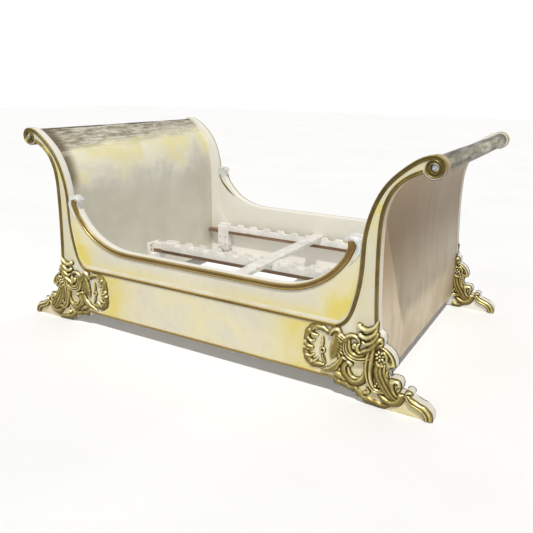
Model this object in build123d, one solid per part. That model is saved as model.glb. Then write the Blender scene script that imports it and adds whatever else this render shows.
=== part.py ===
from build123d import *
import os
from math import cos, radians, sin

# A sleigh bed: two S-curved ends that roll outwards, two side rails that sweep up into small
# scrolls, carved bracket feet, gilt mouldings and carved mounts, and a drop-in slat support.
# Frame: origin on the floor under the middle of the bed, +X towards the foot end, +Y across, +Z up.
# Outlines are (x, z) points on the foot end, near side (-Y). The other corners are mirror images.

# Mattress space and boards
CLEAR_W = 1530              # between the two side frames
CLEAR_L = 2006              # between the two end panels
BOARD = 51                  # thickness of posts, rails and feet
INNER_Y = CLEAR_W / 2
FACE_Y = INNER_Y + BOARD    # painted outer face of a side frame
PANEL_INSET = 2             # how far a panel lies inside the post's outboard edge
PANEL_X = CLEAR_L / 2       # inner face of an end panel
PANEL_EDGE = 10             # how deep a panel sits in its groove in the post

# Side frame
RAIL_BOTTOM = 92
RAIL_TOP = 528
POST_X = 1045               # outboard edge of the post's straight lower block
JOINT_X = 850               # where the rail's end meets the post
JOINT_Z = 391
POST_TOP_OF_BLOCK = 385
SHOULDER = (938, 808)       # where the rail's top shoulder meets the post

# Volute at the head of each post, and the roll between two volutes
VOLUTE = (1227, 1155)
VOLUTE_R = 52
EYE_R = 18
ROLL_R = 42
SPIGOT_R = 15
SPIGOT = 25
VOLUTE_END_DEG = 214        # where the outboard edge runs into the volute

# Small scroll at each end of a rail
SCROLL = (890, 781)
SCROLL_R = 44
SCROLL_RING = 14
SCROLL_PROUD = 3

# Mouldings on the painted face
BEAD_W = 20
BEAD_RISE = 9
MID_Z = 381                 # top of the gilt band half way up the side
BAND_H = 33
LINE_H = 12
LINE_RISE = 5

# Slat support
SLAT_Z = 348                # level of the notches, on which slats rest
LEDGER_Z = (282, 306)
LEDGER_D = 53
COMB_HALF = 890
COMB_T = 18
COMB_TOP = 370
PITCH = 125
NOTCHES = 13
NOTCH_W = 60
BAR_NOTCH_W = 94            # the middle notch, for the crossbar
CLEAT_X = 800
BEAM_T = 40
BEAM_LOW = 275
SHOE_T = 22
SHOE_W = 130
CROSSBAR_W = 92
CROSSBAR_T = 24
CROSSBAR_GAP = 3
CLEAT_W = 100
CLEAT_Z = (110, 345)
CLEAT_T = 63
CLEAT_SCREW_Z = (135, 195, 255)
SCREW_R = 2.5
SHOE_SCREW_BITE = 15        # how far a shoe's screws reach into the end panel
SCREW_HEAD_R = 5
SCREW_HEAD_H = 3
DOWEL_R = 6
DOWEL_L = 90
DOWEL_Z = (165, 232, 300)

# Carving
RELIEF = 24                 # how far the carved mounts stand off the face
CARTOUCHE = (747, 233)

NEAR_FACE = Plane.XZ.offset(FACE_Y)
NEAR_INNER = Plane.XZ.offset(INNER_Y)


# ---- helpers -------------------------------------------------------------------------------

def board(outline, plane=NEAR_INNER, thickness=BOARD):
    """A flat board with the given (x, z) outline, thickened away from the bed's middle."""
    return extrude(plane * make_face(outline), thickness)


def block(x, y, z):
    """A box from its (low, high) pairs."""
    low, high = (x[0], y[0], z[0]), (x[1], y[1], z[1])
    size = [b - a for a, b in zip(low, high)]
    middle = [(a + b) / 2 for a, b in zip(low, high)]
    return Pos(*middle) * Box(*size)


def rod(radius, start, end):
    """A round rod between two points that differ along one axis only."""
    span = Vector(*end) - Vector(*start)
    return extrude(Plane(start, z_dir=span.normalized()) * Circle(radius), span.length)


def on_circle(centre, radius, degrees):
    return (centre[0] + radius * cos(radians(degrees)), centre[1] + radius * sin(radians(degrees)))


def beside(curve, gap, count=9):
    """A spline that keeps a gap to the left of a curve's direction."""
    points = []
    for i in range(count):
        t = i / (count - 1)
        way = curve % t
        points.append(curve @ t + Vector(-way.Y, way.X) * gap)
    return Spline(*points, tangents=[curve % 0, curve % 1])


def strip(curve, gap_a, gap_b):
    """The closed outline between two lines that run beside a curve."""
    a, b = beside(curve, gap_a), beside(curve, gap_b)
    return [a, Line(a @ 1, b @ 1), b, Line(b @ 0, a @ 0)]


def frond(points, root, tip, rise=RELIEF):
    """A carved stem or leaf on the near face: a spline whose half-width runs from root to tip."""
    line = Spline(*points)
    sides = ([], [])
    count = 2 * len(points) + 1
    for i in range(count):
        t = i / (count - 1)
        way = line % t
        across = Vector(-way.Y, way.X) * (root + (tip - root) * t)
        sides[0].append(line @ t + across)
        sides[1].append(line @ t - across)
    left, right = Spline(*sides[0]), Spline(*sides[1])
    outline = [left, Line(left @ 1, right @ 1), right, Line(right @ 0, left @ 0)]
    return extrude(NEAR_FACE * make_face(outline), rise)


def boss(centre, radius, rise, hole=0):
    """A round boss on the near face, or a ring if it has a hole."""
    disc = Circle(radius) - Circle(hole) if hole else Circle(radius)
    return extrude(NEAR_FACE * Pos(*centre) * disc, rise)


def moulding(outline, rise=BEAD_RISE):
    """A flat moulding planted on the near face."""
    return board(outline, NEAR_FACE, rise)


def spiral(centre, radius, start_deg, turn_deg, end_radius, count=9):
    """Points that wind in round a centre."""
    points = []
    for i in range(count):
        t = i / (count - 1)
        points.append(on_circle(centre, radius + (end_radius - radius) * t, start_deg + turn_deg * t))
    return points


def cut(part, tools):
    """A part with each tool's space taken out of it."""
    for tool in tools:
        part -= tool
    return part


def group(shapes):
    """Separate solids that make up one node."""
    return Compound(children=list(shapes))


def corners(part):
    """The four mirror images of a foot-end, near-side part."""
    foot_far = mirror(part, about=Plane.XZ)
    return {
        "foot_near": part,
        "foot_far": foot_far,
        "head_near": mirror(part, about=Plane.YZ),
        "head_far": mirror(foot_far, about=Plane.YZ),
    }


def both_ends(part):
    return part + mirror(part, about=Plane.YZ)


# ---- curves that several pieces share --------------------------------------------------------

corner_curve = Spline((830, MID_Z), (JOINT_X, JOINT_Z), tangents=[(1, 0), (0.84, 0.54)])
inner_low = Spline(
    (JOINT_X, JOINT_Z), (888, 439), (908, 500), (930, 620), (936, 730), SHOULDER,
    tangents=[(0.84, 0.54), (0.06, 1)],
)
volute_top = on_circle(VOLUTE, VOLUTE_R, 90)
inner_high = Spline(
    SHOULDER, (949, 885), (982, 992), (1030, 1076), (1103, 1148), volute_top,
    tangents=[(0.06, 1), (1, 0)],
)
volute_end = on_circle(VOLUTE, VOLUTE_R, VOLUTE_END_DEG)
outer_edge = Spline(
    (POST_X, POST_TOP_OF_BLOCK), (1030, 590), (1024, 830), (1042, 982), (1088, 1064), volute_end,
    tangents=[(-0.12, 1), (0.93, 0.37)],
)
volute_rim = ThreePointArc(volute_top, on_circle(VOLUTE, VOLUTE_R, 0), volute_end)

rail_run = Line((0, RAIL_TOP), (440, RAIL_TOP))
rail_rise = Spline(
    (440, RAIL_TOP), (576, 537), (684, 571), (786, 639), (850, 716), (866, 750),
    tangents=[(1, 0), (0.25, 0.97)],
)

# ---- end panels and rolls ----------------------------------------------------------------------

panel_start = (PANEL_X, 800)
panel_inside = Spline(
    panel_start, (1017, 930), (1046, 1024), (1094, 1098), (1152, 1154), (VOLUTE[0], VOLUTE[1] + ROLL_R),
    tangents=[(0, 1), (1, 0.18)],
)
panel_outside = beside(outer_edge, PANEL_INSET)
panel_outline = [
    Line((PANEL_X, RAIL_BOTTOM), panel_start),
    panel_inside,
    Line(panel_inside @ 1, panel_outside @ 1),
    panel_outside,
    Line(panel_outside @ 0, (POST_X - PANEL_INSET, RAIL_BOTTOM)),
    Line((POST_X - PANEL_INSET, RAIL_BOTTOM), (PANEL_X, RAIL_BOTTOM)),
]


def end_panel():
    """A curved board between two posts, its side edges housed in their grooves."""
    half_width = INNER_Y + PANEL_EDGE
    return board(panel_outline, Plane.XZ.offset(-half_width), 2 * half_width)


def roll():
    """The round rail at the head of an end panel, with a spigot into each volute."""
    x, z = VOLUTE
    barrel = rod(ROLL_R, (x, -INNER_Y, z), (x, INNER_Y, z))
    reach = INNER_Y + SPIGOT
    return barrel + rod(SPIGOT_R, (x, -reach, z), (x, reach, z))


# ---- side frame ----------------------------------------------------------------------------------

def post():
    """The S-curved board of one corner, which rises from a straight block to the volute."""
    return board([
        Line((POST_X, RAIL_BOTTOM), (JOINT_X, RAIL_BOTTOM)),
        Line((JOINT_X, RAIL_BOTTOM), (JOINT_X, JOINT_Z)),
        inner_low,
        inner_high,
        volute_rim,
        outer_edge,
        Line((POST_X, POST_TOP_OF_BLOCK), (POST_X, RAIL_BOTTOM)),
    ])


def rail_scroll():
    """The small rolled end of a rail, a little proud of the rail on both sides."""
    x, z = SCROLL
    return rod(SCROLL_R, (x, -INNER_Y + SCROLL_PROUD, z), (x, -FACE_Y - SCROLL_PROUD, z))


def rail():
    """A side rail with both of its swept-up ends."""
    scroll_top = on_circle(SCROLL, SCROLL_R, 90)
    half = board([
        Line((0, RAIL_BOTTOM), (JOINT_X, RAIL_BOTTOM)),
        Line((JOINT_X, RAIL_BOTTOM), (JOINT_X, JOINT_Z)),
        inner_low,
        Line(SHOULDER, scroll_top),
        Line(scroll_top, SCROLL),
        Line(SCROLL, rail_rise @ 1),
        rail_rise,
        rail_run,
        Line((0, RAIL_TOP), (0, RAIL_BOTTOM)),
    ]) - rail_scroll()
    return both_ends(half)


def foot():
    """A bracket foot: a scalloped apron under the post, a flat sole and a carved outboard edge."""
    apron = [(837, RAIL_BOTTOM), (842, 66), (866, 71), (895, 52), (925, 58), (956, 33), (986, 27),
             (1008, 4), (1036, 12)]
    toe = [(1331, 0), (1322, 46), (1297, 73), (1262, 80), (1228, 103), (1212, 131), (1192, 106)]
    bracket = [(1163, 108), (1174, 144), (1163, 168), (1136, 172), (1114, 168), (1108, 206), (1138, 230),
               (1116, 288), (1070, 316), (1073, 348), (POST_X, POST_TOP_OF_BLOCK)]
    edges = [ThreePointArc(*apron[i:i + 3]) for i in range(0, len(apron) - 2, 2)]
    edges += [Line(apron[-1], (1048, 0)), Line((1048, 0), toe[0])]
    edges += [ThreePointArc(*toe[i:i + 3]) for i in range(0, len(toe) - 2, 2)]
    edges += [Line(toe[-1], bracket[0])]
    edges += [ThreePointArc(*bracket[i:i + 3]) for i in range(0, len(bracket) - 2, 2)]
    edges += [
        Line((POST_X, POST_TOP_OF_BLOCK), (POST_X, RAIL_BOTTOM)),
        Line((POST_X, RAIL_BOTTOM), apron[0]),
    ]
    return board(edges)


# ---- gilt mouldings --------------------------------------------------------------------------------

def inner_bead():
    """The bead that turns up from the mid band, follows the post's inboard edge and rings the volute."""
    bead = boss(VOLUTE, VOLUTE_R, BEAD_RISE, VOLUTE_R - BEAD_W)
    for curve in (corner_curve, inner_low, inner_high):
        bead += moulding(strip(curve, 0, -BEAD_W))
    return bead


def outer_bead():
    """The bead on the post's outboard edge, which ends under the volute."""
    return moulding(strip(outer_edge, 0, BEAD_W)) - inner_bead()


def mid_band():
    """The straight gilt band along the side, between the two corner beads."""
    end = (corner_curve @ 0).X
    return block((-end, end), (-FACE_Y - BEAD_RISE, -FACE_Y), (MID_Z - BEAD_W, MID_Z))


def top_band():
    """The gilt band under the rail's top edge, ringed round each small scroll."""
    ring = extrude(
        Plane.XZ.offset(FACE_Y + SCROLL_PROUD) * Pos(*SCROLL) * (Circle(SCROLL_R) - Circle(SCROLL_R - SCROLL_RING)),
        BEAD_RISE - SCROLL_PROUD,
    )
    half = moulding(strip(rail_run, 0, -BAND_H)) + moulding(strip(rail_rise, 0, -BAND_H))
    return both_ends(half - rail_scroll() + ring)


def bottom_line():
    """The thin gilt line along a rail's bottom edge."""
    return block(
        (-JOINT_X, JOINT_X), (-FACE_Y - LINE_RISE, -FACE_Y), (RAIL_BOTTOM, RAIL_BOTTOM + LINE_H),
    )


# ---- carved mounts -------------------------------------------------------------------------------------

def cartouche():
    """An oval plaque with a scalloped rim and a flower in its middle."""
    lobes, across, up = 12, 78, 90
    plate = extrude(NEAR_FACE * Pos(*CARTOUCHE) * Ellipse(across, up), RELIEF * 0.6)
    for i in range(lobes):
        a = 360 * i / lobes
        plate += boss((CARTOUCHE[0] + across * cos(radians(a)), CARTOUCHE[1] + up * sin(radians(a))), 22, RELIEF)
    return plate + boss(CARTOUCHE, 24, RELIEF)


def acanthus():
    """The fan of leaves that springs from the foot of the outer bead."""
    root = (1040, 400)
    leaf = frond([root, (990, 408), (938, 398)], 14, 7)
    for knee, tip in (((992, 378), (944, 360)), ((998, 344), (956, 322)), ((1020, 350), (1010, 300))):
        leaf += frond([root, knee, tip], 14, 8)
    return leaf


def scroll_mount():
    """The C-scroll beside the cartouche, with the crescent that cradles it from below."""
    coil = spiral((924, 271), 40, 80, 400, 14, 13)
    crescent = [(866, 200), (866, 150), (890, 112), (932, 96), (972, 118), (993, 170), (990, 215)]
    return frond(coil, 9, 7) + frond(crescent, 12, 9) + boss((924, 271), 12, RELIEF)


def leaf_spray():
    """Stems, a flower and long fronds that spread over the foot, on its outer and its inner face."""
    flower = boss((1058, 273), 26, RELIEF)
    for stem in (
        [(1010, 250), (1012, 170), (1036, 100)],
        [(1058, 262), (1060, 190), (1095, 120)],
        [(1070, 262), (1100, 200), (1130, 150)],
        [(1075, 285), (1100, 262), (1118, 240)],
        [(1056, 285), (1052, 315), (1060, 345)],
    ):
        flower += frond(stem, 13, 8)
    flower -= scroll_mount()
    inner_plane = Plane.XZ.offset(INNER_Y + BOARD / 2)
    clear_of_panel = POST_X + 5
    inside = mirror(flower, about=inner_plane) & block(
        (clear_of_panel, 1400), (-INNER_Y - 1, -INNER_Y + RELIEF + 1), (0, 500),
    )
    return group([*flower.solids(), *inside.solids()])


# ---- slat support ---------------------------------------------------------------------------------------

def ledger():
    """The batten along a rail's inner face, which carries the comb on its front edge."""
    return block((-PANEL_X, PANEL_X), (-INNER_Y, -INNER_Y + LEDGER_D), LEDGER_Z)


def comb(y_low):
    """A notched strip that carries slats and keeps them at their pitch."""
    strip_of_wood = block((-COMB_HALF, COMB_HALF), (y_low, y_low + COMB_T), (LEDGER_Z[1], COMB_TOP))
    for i in range(NOTCHES):
        x = (i - (NOTCHES - 1) / 2) * PITCH
        half = (NOTCH_W if x else BAR_NOTCH_W) / 2
        strip_of_wood -= block(
            (x - half, x + half), (y_low - 1, y_low + COMB_T + 1), (SLAT_Z, COMB_TOP + 1),
        )
    return strip_of_wood


def centre_beam():
    """The bearer along the middle of the bed, between the two shoes."""
    end = PANEL_X - SHOE_T
    return block((-end, end), (-BEAM_T / 2, BEAM_T / 2), (BEAM_LOW, SLAT_Z))


def beam_shoe():
    """A block on an end panel that carries the end of the centre beam in a pocket."""
    plate = block((PANEL_X - SHOE_T, PANEL_X), (-SHOE_W / 2, SHOE_W / 2), (BEAM_LOW - 45, SLAT_Z))
    seat = block(
        (PANEL_X - 3 * SHOE_T, PANEL_X - SHOE_T), (-SHOE_W / 2, SHOE_W / 2), (BEAM_LOW - 45, BEAM_LOW),
    )
    return plate + seat


def shoe_screws():
    """Four screws through a shoe's plate into its end panel."""
    screws = []
    for y in (-SHOE_W / 2 + 18, SHOE_W / 2 - 18):
        for z in (BEAM_LOW + 25, SLAT_Z - 20):
            start = PANEL_X - SHOE_T
            head = rod(SCREW_HEAD_R, (start - SCREW_HEAD_H, y, z), (start, y, z))
            screws.append(head + rod(SCREW_R, (start, y, z), (PANEL_X + SHOE_SCREW_BITE, y, z)))
    return screws


def crossbar():
    """The loose bar that drops into the middle notches, from ledger to ledger."""
    end = INNER_Y - CROSSBAR_GAP
    return block((-CROSSBAR_W / 2, CROSSBAR_W / 2), (-end, end), (SLAT_Z, SLAT_Z + CROSSBAR_T))


def ledger_comb():
    return comb(-INNER_Y + LEDGER_D - COMB_T)


def cleat():
    """The corner block that ties a rail's end to its post, notched over the ledger and its comb."""
    whole = block((CLEAT_X, CLEAT_X + CLEAT_W), (-INNER_Y, -INNER_Y + CLEAT_T), CLEAT_Z)
    return cut(whole, [ledger(), ledger_comb()])


def cleat_screws():
    """Two columns of screws through a cleat, one into the rail and one into the post."""
    screws = []
    face = -INNER_Y + CLEAT_T
    for x in (CLEAT_X + CLEAT_W / 4, CLEAT_X + CLEAT_W * 3 / 4):
        for z in CLEAT_SCREW_Z:
            head = rod(SCREW_HEAD_R, (x, face + SCREW_HEAD_H, z), (x, face, z))
            screws.append(head + rod(SCREW_R, (x, face, z), (x, face - CLEAT_T - 30, z)))
    return screws


def dowels():
    """The dowels hidden in the butt joint between a rail and a post."""
    y = -(INNER_Y + FACE_Y) / 2
    return [rod(DOWEL_R, (JOINT_X - DOWEL_L / 2, y, z), (JOINT_X + DOWEL_L / 2, y, z)) for z in DOWEL_Z]


# ---- assembly -------------------------------------------------------------------------------------------------

def mirrored_y(part):
    return mirror(part, about=Plane.XZ)


def mirrored_x(part):
    return mirror(part, about=Plane.YZ)


pieces = {}

# Four corners
corner_fixings = dowels() + cleat_screws()
corner_parts = {
    "post": cut(post(), [end_panel(), roll(), *corner_fixings]),
    "foot": foot(),
    "inner_bead": inner_bead(),
    "outer_bead": outer_bead(),
    "cartouche": cartouche(),
    "acanthus": acanthus() - outer_bead(),
    "scroll_mount": scroll_mount(),
    "leaf_spray": leaf_spray(),
}
for name, part in corner_parts.items():
    for corner, placed in corners(part).items():
        pieces[f"{name}_{corner}"] = placed

# Two ends
screwed_panel = cut(end_panel(), [roll(), *shoe_screws()])
for end, place in (("foot", lambda part: part), ("head", mirrored_x)):
    pieces[f"{end}board_panel"] = place(screwed_panel)
    pieces[f"{end}board_roll"] = place(roll())
    pieces[f"beam_shoe_{end}"] = place(cut(beam_shoe(), shoe_screws()))

# Two sides
end_fixings = corner_fixings + [mirrored_x(fixing) for fixing in corner_fixings]
for side, place in (("near", lambda part: part), ("far", mirrored_y)):
    pieces[f"side_rail_{side}"] = place(cut(rail(), end_fixings))
    pieces[f"top_band_{side}"] = place(top_band())
    pieces[f"mid_band_{side}"] = place(mid_band())
    pieces[f"bottom_line_{side}"] = place(bottom_line())
    pieces[f"ledger_{side}"] = place(ledger())
    pieces[f"ledger_comb_{side}"] = place(ledger_comb())
    pieces[f"rail_scrolls_{side}"] = place(group([rail_scroll(), mirrored_x(rail_scroll())]))

# Slat support and fixings
eye = rod(EYE_R, (VOLUTE[0], -FACE_Y, VOLUTE[1]), (VOLUTE[0], -FACE_Y - BEAD_RISE, VOLUTE[1]))
pieces["volute_eyes"] = group(corners(eye).values())
pieces["centre_beam"] = centre_beam()
pieces["beam_combs"] = group([comb(BEAM_T / 2), comb(-BEAM_T / 2 - COMB_T)])
pieces["crossbar"] = crossbar()
pieces["corner_cleats"] = group(corners(cut(cleat(), cleat_screws())).values())
pieces["cleat_screws"] = group(s for screw in cleat_screws() for s in corners(screw).values())
pieces["rail_dowels"] = group(d for dowel in dowels() for d in corners(dowel).values())
pieces["shoe_screws"] = group(s for screw in shoe_screws() for s in (screw, mirrored_x(screw)))

os.makedirs("parts", exist_ok=True)
for name, part in pieces.items():
    export_step(part, f"parts/{name}.step")
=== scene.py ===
import math

import bpy
import numpy as np
from mathutils import Matrix


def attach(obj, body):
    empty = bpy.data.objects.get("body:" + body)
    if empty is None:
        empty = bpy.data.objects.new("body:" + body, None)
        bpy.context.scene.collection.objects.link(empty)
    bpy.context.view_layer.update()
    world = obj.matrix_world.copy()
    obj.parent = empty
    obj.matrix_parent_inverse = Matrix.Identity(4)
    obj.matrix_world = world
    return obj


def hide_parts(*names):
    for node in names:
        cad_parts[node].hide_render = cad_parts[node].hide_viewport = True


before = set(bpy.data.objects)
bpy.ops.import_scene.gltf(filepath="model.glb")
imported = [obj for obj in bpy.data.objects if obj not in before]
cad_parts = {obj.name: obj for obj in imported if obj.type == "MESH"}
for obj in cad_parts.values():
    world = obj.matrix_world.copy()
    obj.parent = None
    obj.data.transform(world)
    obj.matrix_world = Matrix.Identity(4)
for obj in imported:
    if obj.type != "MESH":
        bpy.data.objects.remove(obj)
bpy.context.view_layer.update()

# All shapes are drawn in millimetres on the foot end, near side, and mirrored to the other corners.
MM = 0.001
INNER_Y, FACE_Y = 765.0, 816.0
UNDERSIDE = 92.0   # of the posts, rails and end panels
PANEL_IN, BEAM_END, CLEAT_Y = 1003.0, 981.0, 702.0
VOLUTE, VOLUTE_R, ROLL_R = (1227.0, 1155.0), 52.0, 41.2
CORNERS = {
    "foot_near": (1, 1), "foot_far": (1, -1), "head_near": (-1, 1), "head_far": (-1, -1),
}
SIDES = {"near": (1, 1), "far": (1, -1)}
ENDS = {"foot": (1, 1), "head": (-1, 1)}


# ---- lines ----

def spline(points, start=None, end=None, step=6.0):
    """Samples of a smooth curve through the points, with optional end directions."""
    p = np.array(points, float)
    n = len(p)
    h = np.linalg.norm(np.diff(p, axis=0), axis=1)
    d = np.diff(p, axis=0) / h[:, None]
    a, b = np.zeros((n, n)), np.zeros_like(p)
    for i in range(1, n - 1):
        a[i, i - 1 : i + 2] = h[i], 2 * (h[i - 1] + h[i]), h[i - 1]
        b[i] = 3 * (h[i] * d[i - 1] + h[i - 1] * d[i])
    for i, j, way, slope in ((0, 1, start, d[0]), (n - 1, n - 2, end, d[-1])):
        if way is None:
            a[i, i], a[i, j], b[i] = 2, 1, 3 * slope
        else:
            a[i, i], b[i] = 1, np.array(way, float) / np.linalg.norm(way)
    m = np.linalg.solve(a, b)
    out = []
    for i in range(n - 1):
        t = np.linspace(0, 1, max(3, math.ceil(h[i] / step)), endpoint=False)[:, None]
        out.append(
            (1 + 2 * t) * (1 - t) ** 2 * p[i] + t * (1 - t) ** 2 * h[i] * m[i]
            + t * t * (3 - 2 * t) * p[i + 1] + t * t * (t - 1) * h[i] * m[i + 1]
        )
    return np.concatenate(out + [p[-1:]])


def arc(centre, radius, start, end, count=24):
    """A circular arc in degrees; radius may be a pair, for a spiral."""
    r0, r1 = radius if isinstance(radius, tuple) else (radius, radius)
    a = np.radians(np.linspace(start, end, count))
    r = np.linspace(r0, r1, count)
    return np.stack([centre[0] + r * np.cos(a), centre[1] + r * np.sin(a)], 1)


def through(a, b, c, count=9):
    """The arc through three points."""
    (ax, ay), (bx, by), (cx, cy) = a, b, c
    k = 2 * (ax * (by - cy) + bx * (cy - ay) + cx * (ay - by))
    aa, bb, cc = ax * ax + ay * ay, bx * bx + by * by, cx * cx + cy * cy
    x = (aa * (by - cy) + bb * (cy - ay) + cc * (ay - by)) / k
    y = (aa * (cx - bx) + bb * (ax - cx) + cc * (bx - ax)) / k
    r = math.hypot(ax - x, ay - y)
    t = [math.degrees(math.atan2(q[1] - y, q[0] - x)) for q in (a, b, c)]
    turn, part = (t[2] - t[0]) % 360, (t[1] - t[0]) % 360
    if part > turn:
        turn -= 360
    return arc((x, y), r, t[0], t[0] + turn, count)


def chain(*parts):
    """One line from several, without doubled points."""
    p = np.concatenate([np.array(q, float).reshape(-1, 2) for q in parts])
    keep = np.r_[True, np.linalg.norm(np.diff(p, axis=0), axis=1) > 0.2]
    return p[keep]


def normals(path):
    d = np.gradient(path, axis=0)
    d /= np.linalg.norm(d, axis=1)[:, None]
    return np.stack([-d[:, 1], d[:, 0]], 1)


def beside(path, gap):
    """The line that keeps a gap to the left of a path's direction."""
    return path + normals(path) * np.reshape(gap, (-1, 1))


def resample(path, step):
    s = np.r_[0, np.cumsum(np.linalg.norm(np.diff(path, axis=0), axis=1))]
    t = np.linspace(0, s[-1], max(2, int(s[-1] / step) + 1))
    return np.stack([np.interp(t, s, path[:, i]) for i in (0, 1)], 1)


# ---- meshes ----

def mirrored(part, x, y):
    """A part mirrored in X and Y where the signs are negative, its faces still outwards."""
    verts, faces, flat = part
    return verts * (x, y, 1), [f[::-1] for f in faces] if x * y < 0 else faces, flat


def add(name, part, material, mirror=(1, 1), stands_for=(), body="bed", ridge=None, second=None, sharp=35):
    """A mesh object from a part in millimetres. The second material goes on the faces it lists."""
    verts, faces, flat = mirrored(part, *mirror)
    mesh = bpy.data.meshes.new(name)
    mesh.from_pydata((verts * MM).tolist(), [], faces)
    if ridge is not None:
        mesh.attributes.new("ridge", "FLOAT", "POINT").data.foreach_set("value", ridge.astype(np.float32))
    smooth = np.ones(len(mesh.polygons), bool)
    smooth[list(flat)] = False
    mesh.polygons.foreach_set("use_smooth", smooth)
    mesh.materials.append(material)
    if second:
        mesh.materials.append(second[0])
        index = np.zeros(len(mesh.polygons), np.int32)
        index[second[1]] = 1
        mesh.polygons.foreach_set("material_index", index)
    mesh.set_sharp_from_angle(angle=math.radians(sharp))
    mesh.update()
    obj = bpy.data.objects.new(name, mesh)
    bpy.context.scene.collection.objects.link(obj)
    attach(obj, body)
    if stands_for:
        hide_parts(*stands_for)


def inset(outline, gap):
    """A closed counter-clockwise outline moved inwards by a gap at each point."""
    before, after = np.roll(outline, 1, 0), np.roll(outline, -1, 0)
    a, b = outline - before, after - outline
    a /= np.linalg.norm(a, axis=1)[:, None]
    b /= np.linalg.norm(b, axis=1)[:, None]
    n = np.stack([-(a + b)[:, 1], (a + b)[:, 0]], 1)
    n /= np.maximum(np.linalg.norm(n, axis=1)[:, None], 1e-6)
    cos_half = np.sqrt(np.clip((1 + (a * b).sum(1)) / 2, 0.3, 1))
    return outline + n * (np.broadcast_to(gap, len(outline)) / cos_half)[:, None]


def area(p):
    q = np.roll(p, -1, 0)
    return 0.5 * np.sum(p[:, 0] * q[:, 1] - q[:, 0] * p[:, 1])


def board(outline, y_out, y_in, rounding=2.5, steps=4):
    """A board from y = -y_out to -y_in whose edges are rounded. Returns a part."""
    p = np.array(outline, float)
    if np.linalg.norm(p[0] - p[-1]) < 0.2:
        p = p[:-1]
    r = np.broadcast_to(np.asarray(rounding, float), len(p))
    if area(p) < 0:
        p, r = p[::-1], r[::-1]
    n = len(p)
    rings = []
    for k in range(steps + 1):
        a = math.pi / 2 * k / steps
        flat = inset(p, r * (1 - math.sin(a)))
        rings.append((flat, -y_out + r * (1 - math.cos(a))))
    for k in range(steps, -1, -1):
        a = math.pi / 2 * k / steps
        flat = inset(p, r * (1 - math.sin(a)))
        rings.append((flat, -y_in - r * (1 - math.cos(a))))
    verts = np.concatenate([np.stack([f[:, 0], y, f[:, 1]], 1) for f, y in rings])
    faces = [list(range(n)), list(range(len(verts) - 1, len(verts) - n - 1, -1))]
    for k in range(len(rings) - 1):
        for i in range(n):
            j = (i + 1) % n
            faces.append([k * n + j, k * n + i, (k + 1) * n + i, (k + 1) * n + j])
    return verts, faces, [0, 1]


def rectangle(x0, x1, z0, z1):
    return np.array([(x0, z0), (x1, z0), (x1, z1), (x0, z1)], float)


def sweep(path, profile, width, height, base=FACE_Y):
    """A moulding along an (x, z) path on the near face. The profile is (across, up), and width and
    height scale it along the path. Returns a part."""
    n, m = len(path), len(profile)
    prof = np.array(profile, float)
    w = np.broadcast_to(width, n)[:, None]
    h = np.broadcast_to(height, n)[:, None]
    across = prof[None, :, 0] * w
    up = np.where(prof[None, :, 1] < 0, prof[None, :, 1], prof[None, :, 1] * h)
    left = normals(path)
    x = path[:, 0:1] + left[:, 0:1] * across
    z = path[:, 1:2] + left[:, 1:2] * across
    verts = np.stack([x, -(base + up), z], 2).reshape(-1, 3)
    faces = []
    for i in range(n - 1):
        for k in range(m - 1):
            a = i * m + k
            faces.append([a, a + m, a + m + 1, a + 1])
        faces.append([i * m, i * m + m - 1, i * m + 2 * m - 1, i * m + m])
    faces.append(list(range(m)))
    faces.append([(n - 1) * m + k for k in range(m - 1, -1, -1)])
    return verts, faces, [len(faces) - 2, len(faces) - 1]


def joined(*parts):
    """Several parts as one. A part is (vertices, faces, the numbers of its flat faces)."""
    verts, faces, flat = [], [], []
    for v, f, c in parts:
        shift = sum(len(q) for q in verts)
        flat += [len(faces) + i for i in c]
        faces += [[shift + i for i in face] for face in f]
        verts.append(v)
    return np.concatenate(verts), faces, flat


def whole(part):
    """The foot half of a part with its mirror image at the head end."""
    return joined(part, mirrored(part, -1, 1))


def at_corners(part):
    return joined(*[mirrored(part, *mirror) for mirror in CORNERS.values()])


def turned_over(profile):
    """A profile for a path whose field is on its other side."""
    return [(-across, up) for across, up in profile[::-1]]


def lathe(centre, profile, y_base, out=-1, count=32):
    """A turned piece on a Y axis through centre; the profile is (radius, height) from rim to middle."""
    verts, faces = [], []
    for r, up in profile:
        for i in range(count):
            a = 2 * math.pi * i / count
            verts.append((centre[0] + r * math.cos(a), y_base + out * up, centre[1] + r * math.sin(a)))
    rows = len(profile)
    for k in range(rows - 1):
        for i in range(count):
            j = (i + 1) % count
            quad = [k * count + i, k * count + j, (k + 1) * count + j, (k + 1) * count + i]
            faces.append(quad if out < 0 else quad[::-1])
    cap = [(rows - 1) * count + i for i in range(count)]
    faces.append(cap if out < 0 else cap[::-1])
    return np.array(verts), faces, []


# ---- materials ----

def colour(code):
    """A linear RGBA colour from a hex code."""
    c = [int(code[i : i + 2], 16) / 255 for i in (1, 3, 5)]
    return tuple(x / 12.92 if x <= 0.04045 else ((x + 0.055) / 1.055) ** 2.4 for x in c) + (1.0,)


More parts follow.
